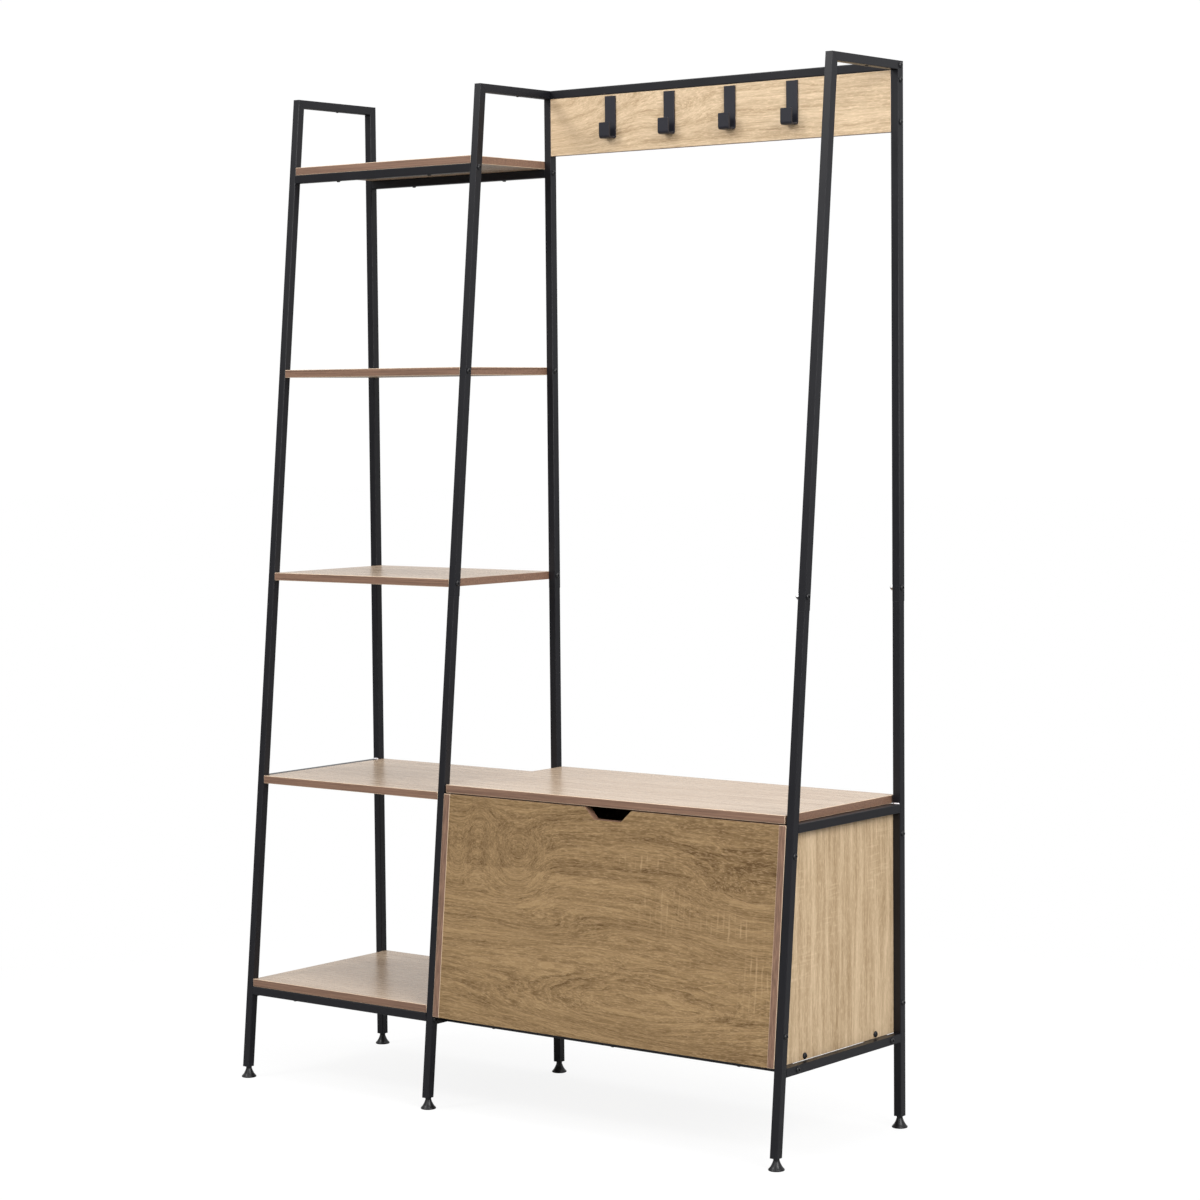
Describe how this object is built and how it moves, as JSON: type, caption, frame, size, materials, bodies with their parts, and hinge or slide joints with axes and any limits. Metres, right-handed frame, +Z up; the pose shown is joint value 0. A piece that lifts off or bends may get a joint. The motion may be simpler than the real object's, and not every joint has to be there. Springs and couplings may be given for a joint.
{
  "type": "hall tree",
  "caption": "Entryway hall tree: open shelf tower beside a storage bench with lift-up lid and a coat-hook board, on black square-tube frames with a leaning front.",
  "frame": {"origin": "centre of the bounding box on the floor, under all six feet", "axes": "+Z up; -Y is the front, which the lid opens towards; +X to the right seen from the front, with the shelf tower on -X and the bench on +X"},
  "size_m": [1.212, 0.3936, 1.8],
  "materials": {
    "frame_black": "satin powder coat",
    "hook_black": "satin powder coat",
    "bolt_black": "semi-gloss black",
    "zinc_steel": "bright zinc plate",
    "oak_top": "smooth satin laminate",
    "oak_front": "textured matt laminate",
    "oak_side": "textured matt laminate",
    "oak_board": "textured matt laminate",
    "foot_plastic": "matt",
    "socket_plastic": "matt",
    "bumper_rubber": "matt"
  },
  "bodies": {
    "stand": {"left_front_leg_lower": "frame_black", "left_rear_leg_lower": "frame_black", "left_front_leg_upper": "frame_black", "left_rear_leg_upper": "frame_black", "left_top_bar": "frame_black", "left_seat_crossbar": "frame_black", "left_foot_crossbar": "frame_black", "middle_front_leg_lower": "frame_black", "middle_rear_leg_lower": "frame_black", "middle_front_leg_upper": "frame_black", "middle_rear_leg_upper": "frame_black", "middle_top_bar": "frame_black", "middle_seat_crossbar": "frame_black", "middle_foot_crossbar": "frame_black", "right_front_leg_lower": "frame_black", "right_rear_leg_lower": "frame_black", "right_front_leg_upper": "frame_black", "right_rear_leg_upper": "frame_black", "right_top_bar": "frame_black", "right_seat_crossbar": "frame_black", "right_foot_crossbar": "frame_black", "tower_top_rail_front": "frame_black", "tower_top_rail_rear": "frame_black", "tower_bottom_rail_front": "frame_black", "tower_bottom_rail_rear": "frame_black", "bench_rail_front": "frame_black", "bench_rail_rear": "frame_black", "hook_rail": "frame_black", "top_shelf": "oak_top", "upper_shelf": "oak_top", "middle_shelf": "oak_top", "seat_level_shelf": "oak_top", "bottom_shelf": "oak_top", "left_side_panel": "oak_side", "right_side_panel": "oak_side", "front_panel": "oak_front", "back_panel": "oak_side", "bottom_panel": "oak_side", "hook_board": "oak_board", "hook_1": "hook_black", "hook_2": "hook_black", "hook_3": "hook_black", "hook_4": "hook_black", "hinge_fixed_leaves": "zinc_steel", "hinge_pins": "zinc_steel", "frame_bolts": "bolt_black", "threaded_inserts": "zinc_steel", "leg_sleeves": "zinc_steel", "foot_sockets": "socket_plastic", "small_screws": "zinc_steel", "lid_bumpers": "bumper_rubber"},
    "lid": {"seat_lid": "oak_top", "hinge_lid_leaves": "zinc_steel", "lid_hinge_screws": "zinc_steel"},
    "foot_left_front_body": {"foot_left_front": "foot_plastic"},
    "foot_left_rear_body": {"foot_left_rear": "foot_plastic"},
    "foot_middle_front_body": {"foot_middle_front": "foot_plastic"},
    "foot_middle_rear_body": {"foot_middle_rear": "foot_plastic"},
    "foot_right_front_body": {"foot_right_front": "foot_plastic"},
    "foot_right_rear_body": {"foot_right_rear": "foot_plastic"}
  },
  "joints": [
    {"name": "lid_hinge", "type": "hinge", "parent": "stand", "child": "lid", "pos_m": [0.22, 0.19262, 0.554], "axis": [-1, 0, 0], "range_deg": [0, 90]},
    {"name": "foot_left_front_height", "type": "slide", "parent": "stand", "child": "foot_left_front_body", "axis": [0, 0, -1], "range_m": [0, 0.01]},
    {"name": "foot_left_rear_height", "type": "slide", "parent": "stand", "child": "foot_left_rear_body", "axis": [0, 0, -1], "range_m": [0, 0.01]},
    {"name": "foot_middle_front_height", "type": "slide", "parent": "stand", "child": "foot_middle_front_body", "axis": [0, 0, -1], "range_m": [0, 0.01]},
    {"name": "foot_middle_rear_height", "type": "slide", "parent": "stand", "child": "foot_middle_rear_body", "axis": [0, 0, -1], "range_m": [0, 0.01]},
    {"name": "foot_right_front_height", "type": "slide", "parent": "stand", "child": "foot_right_front_body", "axis": [0, 0, -1], "range_m": [0, 0.01]},
    {"name": "foot_right_rear_height", "type": "slide", "parent": "stand", "child": "foot_right_rear_body", "axis": [0, 0, -1], "range_m": [0, 0.01]}
  ]
}
